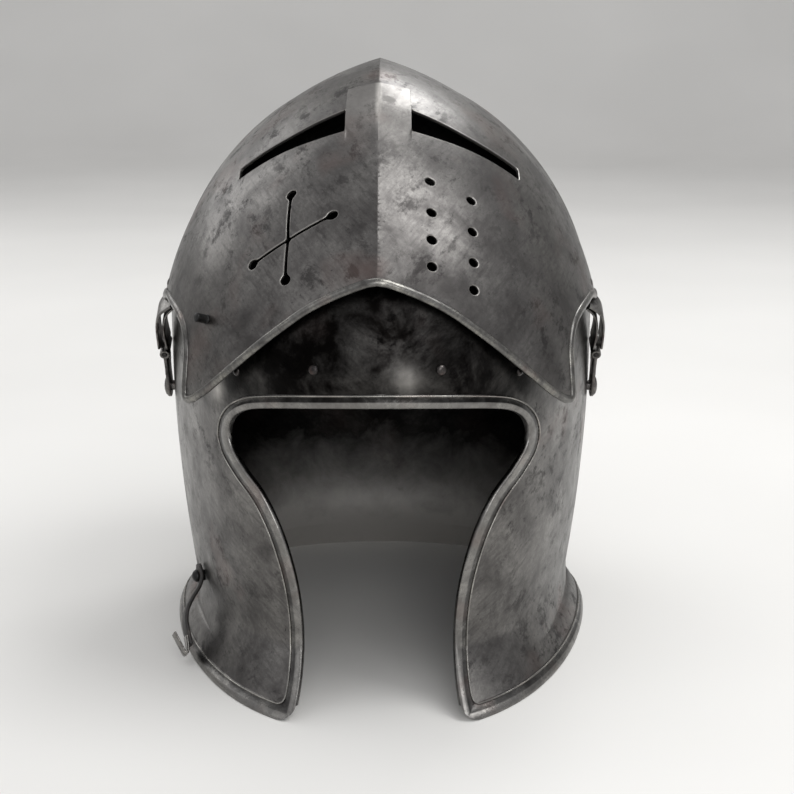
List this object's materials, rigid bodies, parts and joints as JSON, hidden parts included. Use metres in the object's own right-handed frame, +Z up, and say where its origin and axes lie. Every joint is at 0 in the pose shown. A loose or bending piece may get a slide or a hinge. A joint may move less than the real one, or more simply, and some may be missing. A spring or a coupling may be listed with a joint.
{
  "type": "visored barbute helmet",
  "caption": "Open-faced steel war helmet with a keeled, pierced face plate that lifts on side pivots, hinged arms, a lifting peg and a short closing strap.",
  "frame": {"origin": "middle of the box round the helmet, on the plane its rim stands on", "axes": "+Z up, the face looks along -Y, +X to the right of someone facing the helmet; the face plate is raised"},
  "size_m": [0.2138, 0.2675, 0.274],
  "materials": {
    "helmet_steel": "aged, worn satin with dark mottling",
    "plate_steel": "aged, worn satin with streaked patina",
    "worn_edge_steel": "worn bright along the crests",
    "hinge_steel": "worn satin",
    "rivet_steel": "worn satin",
    "dark_iron": "dark, dull",
    "black_iron": "blackened, satin",
    "strap_leather": "dry black leather",
    "bright_steel": "bright, rubbed"
  },
  "bodies": {
    "helmet": {"skull_left": "helmet_steel", "skull_right": "helmet_steel", "opening_band": "worn_edge_steel", "rim_band": "worn_edge_steel", "pivot_rivet_left": "rivet_steel", "pivot_rivet_right": "rivet_steel", "pivot_washer_left": "rivet_steel", "pivot_washer_right": "rivet_steel", "lining_rivets": "rivet_steel", "strap_stud": "black_iron"},
    "visor": {"face_plate": "plate_steel", "face_plate_roll": "worn_edge_steel", "sight_bridge": "plate_steel", "pivot_arm_left": "hinge_steel", "pivot_arm_right": "hinge_steel", "hinge_leaf_left": "hinge_steel", "hinge_leaf_right": "hinge_steel", "leaf_rivets_left": "hinge_steel", "leaf_rivets_right": "hinge_steel", "lifting_peg": "black_iron"},
    "left_pin": {"hinge_pin_left": "dark_iron"},
    "right_pin": {"hinge_pin_right": "dark_iron"},
    "strap": {"closing_strap": "strap_leather", "strap_hook": "bright_steel"}
  },
  "joints": [
    {"name": "visor_swing", "type": "hinge", "parent": "helmet", "child": "visor", "pos_m": [0, 0.00848, 0.1155], "axis": [1, 0, 0], "range_deg": [0, 54]},
    {"name": "left_pin_slide", "type": "slide", "parent": "visor", "child": "left_pin", "axis": [0, -0.8829, -0.4695], "range_m": [0, 0.018]},
    {"name": "right_pin_slide", "type": "slide", "parent": "visor", "child": "right_pin", "axis": [0, -0.8829, -0.4695], "range_m": [0, 0.018]},
    {"name": "strap_swing", "type": "hinge", "parent": "helmet", "child": "strap", "pos_m": [-0.08356, -0.0402, 0.034], "axis": [-0.9397, -0.342, 0], "range_deg": [0, 45]}
  ]
}
